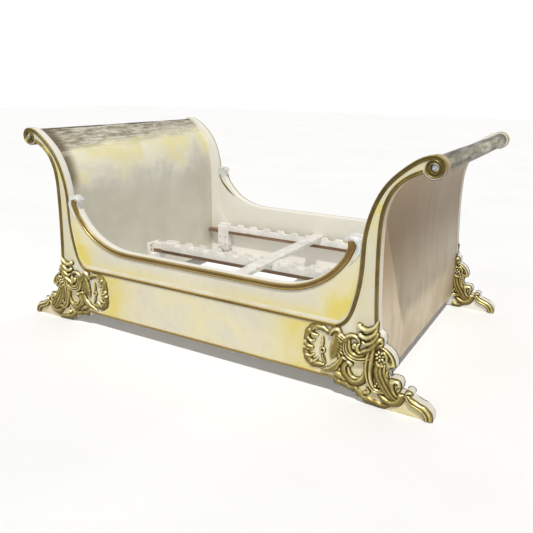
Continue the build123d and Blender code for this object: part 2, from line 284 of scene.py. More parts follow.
class Graph:
    """Short names for the nodes of a material or a world."""

    def __init__(self, tree):
        self.tree = tree

    def node(self, kind, inputs=(), **settings):
        n = self.tree.nodes.new(kind)
        for key, value in settings.items():
            setattr(n, key, value)
        for key, value in dict(inputs).items():
            if isinstance(value, bpy.types.NodeSocket):
                self.tree.links.new(value, n.inputs[key])
            else:
                n.inputs[key].default_value = value
        return n

    def split(self, vector):
        return self.node("ShaderNodeSeparateXYZ", {0: vector}).outputs

    def calc(self, operation, a, b=0.0, c=0.0):
        return self.node("ShaderNodeMath", {0: a, 1: b, 2: c}, operation=operation).outputs[0]

    def times(self, *values):
        out = values[0]
        for v in values[1:]:
            out = self.calc("MULTIPLY", out, v)
        return out

    def most(self, *values):
        out = values[0]
        for v in values[1:]:
            out = self.calc("MAXIMUM", out, v)
        return out

    def ease(self, value, low, high, to_low=0.0, to_high=1.0):
        """A smooth step from low to high."""
        return self.node(
            "ShaderNodeMapRange", {0: value, 1: low, 2: high, 3: to_low, 4: to_high},
            interpolation_type="SMOOTHSTEP",
        ).outputs[0]


class Look(Graph):
    """A principled material and the nodes that drive it."""

    def __init__(self, name):
        self.material = bpy.data.materials.new(name)
        self.material.use_nodes = True
        super().__init__(self.material.node_tree)
        self.tree.nodes.clear()
        self.bsdf = self.node("ShaderNodeBsdfPrincipled")
        out = self.node("ShaderNodeOutputMaterial")
        self.tree.links.new(self.bsdf.outputs[0], out.inputs[0])
        self.pos = self.node("ShaderNodeTexCoord").outputs["Object"]
        self.x, self.y, self.z = self.split(self.pos)
        self.ax, self.ay = self.calc("ABSOLUTE", self.x), self.calc("ABSOLUTE", self.y)
        self.way = self.split(self.node("ShaderNodeTexCoord").outputs["Normal"])

    def noise(self, scale, detail=4.0, rough=0.55, stretch=(1, 1, 1), twist=0.0, shift=0.0):
        vector = self.node(
            "ShaderNodeMapping", {0: self.pos, 1: (shift, shift * 0.7, shift * 1.3), 3: stretch}
        ).outputs[0]
        return self.node(
            "ShaderNodeTexNoise",
            {"Vector": vector, "Scale": scale, "Detail": detail, "Roughness": rough, "Distortion": twist},
        ).outputs[0]

    def blob(self, x, z, reach, squeeze=1.0):
        """1 at a place on each corner's face, fading to 0 at the reach."""
        dx = self.calc("SUBTRACT", self.ax, x)
        dz = self.times(self.calc("SUBTRACT", self.z, z), squeeze)
        d = self.calc("SQRT", self.calc("ADD", self.times(dx, dx), self.times(dz, dz)))
        return self.ease(d, reach * 0.15, reach, 1.0, 0.0)

    def mix(self, fac, a, b):
        a, b = (colour(c) if isinstance(c, str) else c for c in (a, b))
        settings = {"data_type": "RGBA", "blend_type": "MIX", "clamp_factor": True}
        return self.node("ShaderNodeMix", {0: fac, 6: a, 7: b}, **settings).outputs[2]

    def tint(self, base, code, *masks):
        """The base with a colour over it where all the masks are high."""
        return self.mix(self.times(*masks), base, code)

    def ramp(self, fac, *stops):
        n = self.node("ShaderNodeValToRGB", {0: fac})
        while len(n.color_ramp.elements) < len(stops):
            n.color_ramp.elements.new(0.5)
        for element, (place, code) in zip(n.color_ramp.elements, stops):
            element.position = place
            element.color = colour(code)
        return n.outputs[0]

    def attribute(self, name):
        return self.node("ShaderNodeAttribute", attribute_name=name).outputs["Fac"]

    def bump(self, height, distance, strength=1.0, after=None):
        inputs = {"Height": height, "Distance": distance, "Strength": strength}
        if after:
            inputs["Normal"] = after
        return self.node("ShaderNodeBump", inputs).outputs[0]

    def finish(self, base, roughness, normal=None, metallic=0.0, **more):
        values = {"Base Color": base, "Roughness": roughness, "Metallic": metallic, **more}
        if normal:
            values["Normal"] = normal
        for key, value in values.items():
            if isinstance(value, str):
                value = colour(value)
            if isinstance(value, bpy.types.NodeSocket):
                self.tree.links.new(value, self.bsdf.inputs[key])
            else:
                self.bsdf.inputs[key].default_value = value
        return self.material


def brushed(k, distance=0.0006):
    """Brush marks and small dents shared by the painted surfaces."""
    strokes = k.noise(40, 3, 0.6, stretch=(0.25, 1, 1.6), shift=2)
    dents = k.noise(9, 2, 0.5, shift=5)
    return k.bump(strokes, distance, 0.5, k.bump(dents, 0.003, 0.35))


def side_paint():
    """Ivory paint with yellow patina rubbed round the mouldings."""
    k = Look("cream_paint")
    outer = k.ease(k.ay, 0.803, 0.812)
    cloud = k.noise(2.6, 5, 0.6, twist=0.4, shift=1)
    fine = k.noise(22, 4, 0.6, shift=3)
    base = k.mix(k.ease(cloud, 0.35, 0.7), "#d9d3bf", "#e6e1cc")
    base = k.tint(base, "#cfc6ab", k.ease(fine, 0.5, 0.75), 0.35)
    # upper field: patina along the mid band, up the post bead and strongest in the corner
    above = k.ease(k.z, 0.386, 0.405)
    band = k.times(above, k.ease(k.z, 0.41, 0.475, 1.0, 0.0), k.ease(k.ax, 0.05, 0.5, 0.55, 1.0))
    lean = k.calc("SUBTRACT", k.ax, k.times(k.calc("SUBTRACT", k.z, 0.44), 0.17))
    rise = k.times(k.ease(lean, 0.66, 0.90), k.ease(k.z, 0.40, 0.46), k.ease(k.z, 0.56, 0.80, 1.0, 0.15))
    corner = k.blob(0.895, 0.440, 0.25)
    in_field = k.ease(lean, 0.91, 0.89)
    field = k.times(k.most(k.times(band, 0.6), k.times(rise, 0.75), corner), above, in_field)
    # lower field: warm all over, strong beside the carving, brown-gold low down
    below = k.ease(k.z, 0.352, 0.37, 1.0, 0.0)
    beside_carving = k.times(k.ease(k.ax, 0.30, 0.66), k.ease(k.ax, 0.80, 0.70))
    lower = k.times(below, k.most(k.times(beside_carving, 0.8), k.times(k.ease(cloud, 0.42, 0.62), 0.5)))
    # posts: pale, with warmth beside the beads
    on_post = k.ease(k.ax, 0.90, 0.94)
    warm = k.ease(k.noise(5, 3, 0.6, shift=8), 0.42, 0.62)
    post = k.times(on_post, warm, k.ease(k.z, 0.60, 1.0, 0.30, 0.80))
    uneven = k.ease(k.noise(6, 4, 0.65, twist=0.6, shift=4), 0.25, 0.6, 0.6, 1.0)
    mask = k.times(k.most(field, lower, post), uneven, outer)
    base = k.tint(base, "#cdc9b0", on_post, outer, k.ease(k.z, 0.36, 0.42), 0.5)
    base = k.tint(base, "#e3d57f", mask, 0.85)
    base = k.tint(base, "#e0cc55", k.ease(mask, 0.45, 0.95), 0.75)
    foot = k.times(k.ease(k.z, 0.30, 0.05), k.ease(k.ax, 0.80, 0.88), k.ease(fine, 0.30, 0.62), outer)
    base = k.tint(base, "#cab675", foot, 0.55)
    # inside faces are grey-cream, painted paler as painted light where they sit in shade
    base = k.tint(base, "#f1eee6", k.calc("SUBTRACT", 1.0, outer), 0.8)
    # the brackets' sawn edges are greyer, and the post's outboard edge is painted brown under the volute as
    # painted shade
    edge = k.times(k.ease(k.calc("ABSOLUTE", k.way[1]), 0.6, 0.3), k.ease(k.ax, 1.012, 1.03))
    base = k.tint(base, "#c9c2b2", edge, k.ease(k.z, 0.38, 0.36), k.ease(cloud, 0.3, 0.7, 0.3, 0.6))
    edge = k.times(edge, k.ease(k.way[2], 0.35, 0.1))
    base = k.tint(base, "#d6cbb4", edge, k.ease(k.z, 0.36, 0.42), 0.7)
    # painted shade: the outboard edge browner where the volute overhangs it
    base = k.tint(base, "#b09764", edge, k.ease(k.z, 0.62, 0.9), 0.75)
    specks = k.ease(k.noise(70, 2, 0.7, shift=6), 0.70, 0.76)
    base = k.tint(base, "#a08a5c", specks, 0.35)
    return k.finish(base, k.ease(fine, 0.2, 0.8, 0.34, 0.52), brushed(k))


def gilt(carved=False):
    """Antique gold: dark in the hollows and rubbed bright on the ridges, partly patina and wear and partly
    painted shade and painted highlights; faces that point up are painted lighter as painted light from above.
    """
    k = Look("carved_gilt" if carved else "aged_gilt")
    cloud = k.noise(14, 5, 0.65, shift=1)
    grain = k.noise(120, 3, 0.6, shift=2)
    level = k.calc("ADD", k.times(cloud, 0.42), k.times(grain, 0.18))
    # painted light: faces that point up are lighter, faces that point down darker
    up = k.ease(k.way[2], -0.7, 0.9, -0.12, 0.2)
    level = k.calc("ADD", level, up)
    if carved:
        # ridges lighter and hollows darker: patina in the hollows and gilding rubbed on the ridges, with
        # painted highlights on the ridges and painted shade in the hollows
        level = k.calc("ADD", level, k.times(k.calc("SUBTRACT", k.attribute("ridge"), 0.12), 0.46))
    base = k.ramp(
        level, (0.10, "#4a3b18"), (0.27, "#6a5726"), (0.42, "#8b7a3e"), (0.58, "#b5a661"), (0.73, "#e3daa0"),
        (0.92, "#f4efcf"),
    )
    if carved:
        chips = k.ease(k.noise(48, 3, 0.7, shift=7), 0.66, 0.71)
        base = k.tint(base, "#d8d0b4", chips, 0.5)
    relief = k.bump(grain, 0.0008, 0.5, k.bump(cloud, 0.002, 0.4))
    return k.finish(base, k.ease(grain, 0.2, 0.8, 0.28, 0.48), relief, metallic=0.45)


def band_gilt():
    """The gilding on the long mouldings: smoother, brown-gold, with a painted highlight along the upper edge
    where faces point up.
    """
    k = Look("band_gilt")
    cloud = k.noise(7, 4, 0.6, stretch=(0.4, 1, 1), shift=1)
    grain = k.noise(90, 3, 0.6, stretch=(0.3, 1, 1), shift=2)
    level = k.calc("ADD", k.times(cloud, 0.34), k.times(grain, 0.12))
    # painted light: faces that point up are lighter, a painted highlight along the upper edge, and faces that
    # point down darker
    level = k.calc("ADD", level, k.ease(k.way[2], -0.6, 0.8, -0.10, 0.34))
    base = k.ramp(
        level, (0.05, "#533c1a"), (0.26, "#7f632f"), (0.46, "#a28747"), (0.66, "#cfbf7e"), (0.86, "#f2ebc8"),
    )
    worn = k.ease(k.noise(30, 4, 0.7, shift=5), 0.63, 0.70)
    base = k.tint(base, "#cdbd86", worn, 0.35)
    return k.finish(base, k.ease(grain, 0.2, 0.8, 0.26, 0.44), k.bump(grain, 0.0005, 0.5), metallic=0.4)


def silver():
    """Tarnished silver paint on the rolls, scratched through to brown."""
    k = Look("silver_leaf")
    streak = k.noise(26, 5, 0.7, stretch=(1, 0.12, 1), shift=1)
    cloud = k.noise(7, 4, 0.6, stretch=(1, 0.5, 1), shift=3)
    base = k.ramp(k.calc("ADD", k.times(streak, 0.6), k.times(cloud, 0.4)),
                  (0.36, "#32291b"), (0.45, "#5a513a"), (0.53, "#877f63"), (0.64, "#c9c4aa"))
    brown = k.ease(k.noise(40, 4, 0.75, stretch=(1, 0.2, 1), shift=6), 0.58, 0.66)
    base = k.tint(base, "#5a4632", brown, 0.7)
    rubbed_top = k.times(k.ease(k.way[2], 0.72, 0.93), k.ease(cloud, 0.35, 0.6, 0.5, 1.0))
    base = k.tint(base, "#45403a", rubbed_top, 0.8)
    return k.finish(base, k.ease(streak, 0.3, 0.7, 0.5, 0.3), k.bump(streak, 0.001, 0.6), metallic=0.35)


def scroll_cap():
    """Silver-white paint on the small scrolls, worn in places."""
    k = Look("scroll_cap")
    cloud = k.noise(30, 4, 0.6, shift=1)
    base = k.mix(k.ease(cloud, 0.3, 0.7), "#cfd3d2", "#f0f0ea")
    worn = k.ease(k.noise(45, 4, 0.7, shift=3), 0.60, 0.70)
    base = k.tint(base, "#9a927c", worn, 0.35)
    return k.finish(base, k.ease(cloud, 0.3, 0.7, 0.3, 0.45), k.bump(cloud, 0.0008, 0.5), metallic=0.15)


def head_panel():
    """The headboard: a worn silver-grey crest, a yellow stain, grey-cream paint that is darker low down as
    painted shade, and the near post's painted shadow along the near edge.
    """
    k = Look("headboard_paint")
    cloud = k.noise(3.2, 5, 0.6, twist=0.5, shift=1)
    streak = k.noise(11, 5, 0.72, stretch=(1, 0.22, 1.4), twist=0.3, shift=2)
    scratch = k.noise(52, 5, 0.8, stretch=(1, 0.14, 1.2), twist=0.3, shift=3)
    fine = k.noise(60, 4, 0.6, shift=9)
    base = k.mix(k.ease(cloud, 0.35, 0.68), "#dbd9cc", "#eae8dc")
    inner = k.calc("LESS_THAN", k.way[0], 5.0)
    # the worn crest starts at a ragged line that drops towards the near side
    edge = k.calc("ADD", k.z, k.times(k.calc("SUBTRACT", streak, 0.5), 0.16))
    edge = k.calc("ADD", edge, k.times(k.y, -0.035))
    ragged = k.calc("ADD", edge, k.times(k.calc("SUBTRACT", scratch, 0.5), 0.22))
    crest = k.times(k.ease(ragged, 1.055, 1.135), inner)
    low = k.calc("ADD", edge, k.times(k.calc("SUBTRACT", cloud, 0.5), 0.5))
    blotch = k.ease(k.noise(4.5, 5, 0.7, twist=0.4, shift=12), 0.36, 0.62, 0.2, 1.0)
    stain = k.times(k.ease(low, 0.82, 1.02), k.ease(edge, 1.22, 1.12))
    base = k.tint(base, "#f4f1df", stain, 0.8)
    base = k.tint(base, "#ebe09a", stain, blotch, 0.75)
    # painted shade: the lower part of the panel greyer and darker
    base = k.tint(base, "#c8bfa6", k.ease(low, 0.95, 0.80), 0.35)
    greys = k.ramp(scratch, (0.32, "#574d3c"), (0.43, "#89806b"), (0.51, "#b5af9b"), (0.64, "#e6e4d9"))
    base = k.mix(crest, base, greys)
    # painted shadow of the near post: the near edge is dark from the crest down to the arm's height
    beside_post = k.times(k.ease(k.y, -0.62, -0.71), k.ease(k.z, 0.74, 0.92))
    post_shadow = k.times(beside_post, k.ease(streak, 0.25, 0.5, 0.45, 1.0))
    base = k.tint(base, "#6b5c48", post_shadow, 0.9)
    cuts = k.times(k.ease(scratch, 0.64, 0.70), k.ease(edge, 1.02, 1.14))
    base = k.tint(base, "#4f3b28", cuts, 0.75)
    base = k.tint(base, "#a59b86", k.ease(fine, 0.66, 0.74), 0.3)
    relief = k.bump(scratch, 0.0009, 0.5, brushed(k))
    return k.finish(base, k.ease(scratch, 0.3, 0.7, 0.5, 0.36), relief)


def foot_panel():
    """The footboard: cream paint, painted tan outside and brown over the upper outside as painted shade,
    faintly streaked.
    """
    k = Look("footboard_paint")
    cloud = k.noise(2.4, 5, 0.6, twist=0.5, shift=4)
    streak = k.noise(12, 4, 0.6, stretch=(1, 1, 0.15), shift=5)
    # painted shade: the outside is tan and turns brown towards the top, where the roll shades it
    base = k.mix(k.ease(cloud, 0.35, 0.68), "#c4b193", "#d6c7ab")
    high = k.calc("ADD", k.z, k.times(k.calc("SUBTRACT", cloud, 0.5), 0.3))
    base = k.tint(base, "#8a6e45", k.ease(high, 0.40, 0.80), 0.85)
    base = k.tint(base, "#a8946f", k.ease(streak, 0.5, 0.7), 0.3)
    inner = k.ease(k.way[0], 0.2, -0.2)
    base = k.mix(inner, base, "#d6d2c4")
    stain = k.times(k.ease(k.noise(6, 4, 0.7, shift=2), 0.60, 0.70), k.ease(k.z, 0.55, 0.2))
    base = k.tint(base, "#9c8a6c", stain, 0.35)
    return k.finish(base, k.ease(streak, 0.2, 0.8, 0.42, 0.55), brushed(k))


def primer():
    """Rough white paint on the slat support, rubbed through at its edges."""
    k = Look("white_primer")
    cloud = k.noise(9, 5, 0.65, shift=1)
    grain = k.noise(60, 4, 0.6, stretch=(0.25, 0.25, 1), shift=2)
    base = k.mix(k.ease(cloud, 0.35, 0.7), "#d9d6cf", "#efede7")
    bare = k.ease(k.calc("ADD", k.times(grain, 0.5), k.times(cloud, 0.5)), 0.60, 0.66)
    base = k.tint(base, "#b79d80", bare, 0.7)
    dirt = k.times(k.ease(k.z, 0.20, 0.13), k.ease(k.noise(30, 4, 0.7, shift=4), 0.42, 0.58))
    base = k.tint(base, "#7b6650", dirt, 0.8)
    return k.finish(base, k.ease(grain, 0.2, 0.8, 0.5, 0.68), k.bump(grain, 0.001, 0.7))


def beam_paint():
    """Bare brown wood with white paint on the top and upper edges."""
    k = Look("beam_paint")
    grain = k.noise(30, 5, 0.7, stretch=(0.06, 1, 1), twist=0.5, shift=1)
    wood = k.ramp(grain, (0.30, "#5f4630"), (0.5, "#7d6149"), (0.7, "#9a8168"))
    drip = k.calc("ADD", k.z, k.times(k.calc("SUBTRACT", k.noise(20, 4, 0.6, shift=3), 0.5), 0.02))
    base = k.mix(k.ease(drip, 0.303, 0.309), wood, "#e6e2d9")
    return k.finish(base, k.ease(grain, 0.2, 0.8, 0.5, 0.7), k.bump(grain, 0.0012, 0.7))


def wood():
    """Brown softwood with a long grain."""
    k = Look("bare_wood")
    grain = k.noise(34, 5, 0.7, stretch=(0.06, 1, 1), twist=0.6, shift=1)
    pores = k.noise(160, 3, 0.6, stretch=(0.05, 1, 1), shift=2)
    base = k.ramp(k.calc("ADD", k.times(grain, 0.75), k.times(pores, 0.25)),
                  (0.30, "#5c432e"), (0.48, "#7a5d45"), (0.64, "#957a61"), (0.78, "#a99079"))
    return k.finish(base, k.ease(pores, 0.2, 0.8, 0.55, 0.72), k.bump(grain, 0.0012, 0.7))


def cove_paint():
    """The cove inside the band: cream paint made paler than the field as a painted highlight, rubbed yellow
    in places.
    """
    k = Look("cove_paint")
    cloud = k.noise(12, 4, 0.6, shift=1)
    # painted highlight: the cove paler than the paint round it
    base = k.mix(k.ease(cloud, 0.35, 0.7), "#f1eddc", "#e9e0bd")
    return k.finish(base, k.ease(cloud, 0.2, 0.8, 0.32, 0.5), brushed(k))


def pearl():
    k = Look("pearl_paint")
    cloud = k.noise(60, 3, 0.6, shift=1)
    base = k.mix(k.ease(cloud, 0.3, 0.7), "#7c83a0", "#c9cedb")
    return k.finish(base, k.ease(cloud, 0.3, 0.7, 0.2, 0.34), k.bump(cloud, 0.0005, 0.5), metallic=0.2)


def steel():
    k = Look("steel")
    cloud = k.noise(300, 3, 0.6, shift=1)
    base = k.mix(k.ease(cloud, 0.4, 0.7), "#8a8479", "#5c4c3a")
    return k.finish(base, k.ease(cloud, 0.3, 0.7, 0.3, 0.5), k.bump(cloud, 0.0003, 0.5), metallic=0.8)


CREAM, GILT, CARVED, COVE = side_paint(), gilt(), gilt(carved=True), cove_paint()
BANDS, SILVER, CAP = band_gilt(), silver(), scroll_cap()
HEAD, FOOT_PAINT, PRIMER = head_panel(), foot_panel(), primer()
BEAM, WOOD, PEARL, STEEL = beam_paint(), wood(), pearl(), steel()


# ---- lines that the pieces share ----

corner = spline([(830, 381), (850, 391)], (1, 0), (0.84, 0.54))
inner_low = spline(
    [(850, 391), (888, 439), (908, 500), (930, 620), (936, 730), (938, 808)], (0.84, 0.54), (0.06, 1)
)
inner_high = spline(
    [(938, 808), (949, 885), (982, 992), (1030, 1076), (1103, 1148), (1227, 1207)], (0.06, 1), (1, 0)
)
volute_end = arc(VOLUTE, VOLUTE_R, 214, 214, 1)[0]
outer_edge = spline(
    [(1045, 385), (1030, 590), (1024, 830), (1042, 982), (1088, 1064), volute_end], (-0.12, 1), (0.93, 0.37)
)
rail_rise = spline(
    [(440, 528), (576, 537), (684, 571), (786, 639), (850, 716), (867, 750), (869, 772)], (1, 0), (0.0, 1.0)
)

# ---- posts, rails and feet ----

post_outline = chain(
    [(1045, UNDERSIDE), (850, UNDERSIDE)], inner_low, inner_high, arc(VOLUTE, VOLUTE_R, 90, -146, 48),
    outer_edge[::-1],
)
half_rail = chain(
    [(850, UNDERSIDE)], inner_low, [(938, 808), (900, 790)], rail_rise[::-1], [(220, 528)],
)
half_round = np.where(half_rail[:, 0] < 862, np.where(half_rail[:, 1] > 500, 9.0, 2.5), 2.5)
rail_outline = np.concatenate([half_rail, (half_rail * (-1, 1))[::-1]])
rail_round = np.concatenate([half_round, half_round[::-1]])

apron = [
    (837, UNDERSIDE), (842, 66), (866, 71), (895, 52), (925, 58), (956, 33), (986, 27), (1008, 4), (1036, 12),
]
toe = [(1331, 0), (1322, 46), (1297, 73), (1262, 80), (1228, 103), (1212, 131), (1192, 106)]
bracket = [
    (1163, 108), (1174, 144), (1163, 168), (1136, 172), (1114, 168), (1108, 206), (1138, 230),
    (1116, 288), (1070, 316), (1073, 348), (1045, 385),
]


def scalloped(points):
    return [through(*points[i : i + 3]) for i in range(0, len(points) - 2, 2)]


foot_outline = chain(
    *scalloped(apron), [(1048, 0)], *scalloped(toe), *scalloped(bracket), [(1045, UNDERSIDE)],
)

# the hooked end of a rail: a crest that leans over the rail's edge
hook_outline = chain(
    [(938, 740), (938, 806)],
    spline([(934, 812), (904, 825), (872, 820), (850, 801)], (-0.8, 0.6), (-0.5, -0.86)),
    spline([(850, 801), (860, 796), (868, 784)], (0.9, -0.1), (0.3, -0.95)), [(869, 740)],
)

post = board(post_outline, FACE_Y, INNER_Y)
foot = board(foot_outline, FACE_Y, INNER_Y)
from_volute = [math.dist(np.mean(post[0][face], 0)[::2], VOLUTE) for face in post[1]]
rim = [i for i, gap in enumerate(from_volute) if i not in post[2] and gap < VOLUTE_R + 1]
for corner_name, mirror in CORNERS.items():
    add(f"{corner_name}_post_board", post, CREAM, mirror, [f"post_{corner_name}"], second=(BANDS, rim))
    add(f"{corner_name}_foot_board", foot, CREAM, mirror, [f"foot_{corner_name}"])

rail = board(rail_outline, FACE_Y, INNER_Y, rail_round, 6)
for side, mirror in SIDES.items():
    add(f"side_board_{side}", rail, CREAM, mirror, [f"side_rail_{side}"])

# ---- end panels and rolls ----

panel_inside = spline(
    [(PANEL_IN, 800), (1017, 930), (1046, 1024), (1094, 1098), (1152, 1154), (1227, 1197)], (0, 1), (1, 0.18)
)
panel_outline = chain([(1043, UNDERSIDE), (PANEL_IN, UNDERSIDE)], panel_inside, beside(outer_edge, 2)[::-1])
panel = board(panel_outline, INNER_Y + 4, -INNER_Y - 4, 1.5, 2)


def roll_bar():
    """A round bar, a little uneven along its length."""
    rows = np.linspace(-INNER_Y - 2, INNER_Y + 2, 90)
    turn = np.linspace(0, 2 * math.pi, 72, endpoint=False)
    verts = []
    for y in rows:
        for a in turn:
            r = ROLL_R + 0.5 * math.sin(y / 97) + 0.3 * math.sin(3 * a + y / 61)
            verts.append((VOLUTE[0] + r * math.cos(a), y, VOLUTE[1] + r * math.sin(a)))
    n = len(turn)
    faces = [
        [i * n + j, (i + 1) * n + j, (i + 1) * n + (j + 1) % n, i * n + (j + 1) % n]
        for i in range(len(rows) - 1) for j in range(n)
    ]
    faces += [list(range(n)), list(range(len(verts) - 1, len(verts) - n - 1, -1))]
    return np.array(verts), faces, [len(faces) - 2, len(faces) - 1]


roll = roll_bar()
for end, mirror in ENDS.items():
    paint = HEAD if end == "head" else FOOT_PAINT
    add(f"{end}_panel_board", panel, paint, mirror, [f"{end}board_panel"])
    add(f"{end}_roll_bar", roll, SILVER, mirror, [f"{end}board_roll"])

# ---- mouldings ----

BEAD = [  # across from the edge side to the field side, and up
    (-1.0, -1.0), (-0.99, 0.35), (-0.93, 0.66), (-0.80, 0.90), (-0.58, 1.0), (-0.34, 0.94), (-0.12, 0.72),
    (0.02, 0.50), (0.12, 0.42), (0.26, 0.50), (0.42, 0.60), (0.60, 0.60), (0.76, 0.46), (0.90, 0.22),
    (1.0, -1.0),
]
BAND = [
    (-1.0, -1.0), (-0.99, 0.40), (-0.92, 0.66), (-0.80, 0.88), (-0.64, 0.98), (-0.46, 0.98), (-0.30, 0.84),
    (-0.12, 0.60), (0.10, 0.42), (0.34, 0.38), (0.44, 0.44), (0.54, 0.72), (0.68, 0.88), (0.82, 0.82),
    (0.93, 0.56), (0.99, 0.25), (1.0, -1.0),
]

# inner bead: up the post and over the top, then two turns round the eye
stem = beside(chain(corner, inner_low, inner_high), -10)
coil = arc(VOLUTE, (42.5, 14), 90, -600, 190)
line = resample(chain(stem, coil), 4)
coil_steps = int(np.linalg.norm(np.diff(coil, axis=0), axis=1).sum() / 4)
on_coil = np.clip((np.arange(len(line)) - (len(line) - coil_steps)) / coil_steps, 0, 1)
inner_bead = sweep(line, turned_over(BEAD), 10 - 5.2 * on_coil, 9 + 2.5 * on_coil)
outer_bead = sweep(resample(beside(outer_edge, 10), 5), BEAD, 10, 9)
cove_profile = [(-1, -1), (-1, 0.9), (-0.6, 0.55), (-0.1, 0.3), (0.5, 0.14), (0.97, 0.06), (1, -1)]
cove_edge = resample(chain([(0, 381)], corner, inner_low[:-12]), 6)
cove_width = np.interp(cove_edge[:, 1], (381, 392, 470, 640), (9.5, 7.0, 3.2, 1.2))
cove = whole(sweep(beside(cove_edge, cove_width), turned_over(cove_profile), cove_width, 4.0))

for corner_name, mirror in CORNERS.items():
    add(f"{corner_name}_inner_bead_gilt", inner_bead, GILT, mirror, [f"inner_bead_{corner_name}"])
    add(f"{corner_name}_outer_bead_gilt", outer_bead, GILT, mirror, [f"outer_bead_{corner_name}"])

# the band under the rail's top edge winds into each small scroll
rise_line = beside(chain([(0, 528), (440, 528)], rail_rise), -17)
turn_in = spline([rise_line[-12], (880, 742), (890, 770), (887, 798)], start=(0.62, 0.78))
band_line = resample(chain(rise_line[:-12], turn_in), 5)
tail = np.clip((np.arange(len(band_line)) - (len(band_line) - 18)) / 14, 0, 1)
top_band = whole(sweep(band_line, turned_over(BAND), 16.5 + 3.5 * tail, 9.0 + 1.5 * tail))
crest_line = resample(spline([
    (851, 799), (862, 808), (880, 813), (902, 808), (918, 793), (925, 771), (922, 747), (911, 724),
    (896, 702), (880, 682),
]), 3)
along = np.linspace(0, 1, len(crest_line))
crest_half = np.interp(along, (0, 0.12, 0.3, 0.48, 0.66, 0.85, 1), (2.5, 8, 12.5, 12.5, 8.5, 4, 1.2))
round_angles = np.linspace(0.12, math.pi - 0.12, 11)
HALF_ROUND = [(-1, -1)] + [(-math.cos(a), math.sin(a)) for a in round_angles] + [(1, -1)]
crest = sweep(crest_line, turned_over(HALF_ROUND), crest_half, 4 + 0.55 * crest_half)
small_scroll = whole(joined(board(hook_outline, FACE_Y + 1, INNER_Y - 1, 5, 5), crest))

# a short gold curve on the rail's inner face, below each scroll
inner_line = resample(spline([(912, 762), (906, 733), (892, 705), (867, 678), (822, 634), (769, 597)]), 4)
inner_half = 7.5 * np.sin(np.linspace(0.35, math.pi - 0.12, len(inner_line)))
v, f, flat = mirrored(sweep(inner_line, turned_over(HALF_ROUND), inner_half, 4, base=0), 1, -1)
inner_curve = whole((v - (0, INNER_Y, 0), f, flat))

mid_line = resample(np.array([(-832.0, 371.0), (832.0, 371.0)]), 20)
mid_band = sweep(mid_line, turned_over(BEAD), 10, 9)
low_profile = [(-1, -1), (-1, 0.7), (-0.7, 1), (0.3, 1), (0.75, 0.7), (1, 0), (1, -1)]
bottom_line = sweep(resample(np.array([(-850.0, 98.0), (850.0, 98.0)]), 20), low_profile, 6, 4.6)

for side, mirror in SIDES.items():
    add(f"inner_curves_{side}", inner_curve, GILT, mirror)
    add(f"small_scrolls_{side}", small_scroll, CAP, mirror, [f"rail_scrolls_{side}"])
    add(f"top_band_gilt_{side}", top_band, BANDS, mirror, [f"top_band_{side}"])
    add(f"mid_band_gilt_{side}", mid_band, BANDS, mirror, [f"mid_band_{side}"])
    add(f"bottom_line_gilt_{side}", bottom_line, BANDS, mirror, [f"bottom_line_{side}"])
    add(f"field_cove_{side}", cove, COVE, mirror)

pearl_profile = [(10, -1), (9.8, 6), (8.8, 9.5), (6.6, 12), (3.6, 13.2), (0.6, 13.5)]
add("volute_pearls", at_corners(lathe(VOLUTE, pearl_profile, -FACE_Y)), PEARL, stands_for=["volute_eyes"])

# ---- carving: a relief whose height is drawn with strokes ----


# how much wider and higher the carved strokes are than their drawn half-widths and heights
FULLNESS, LIFT = 1.5, 1.12


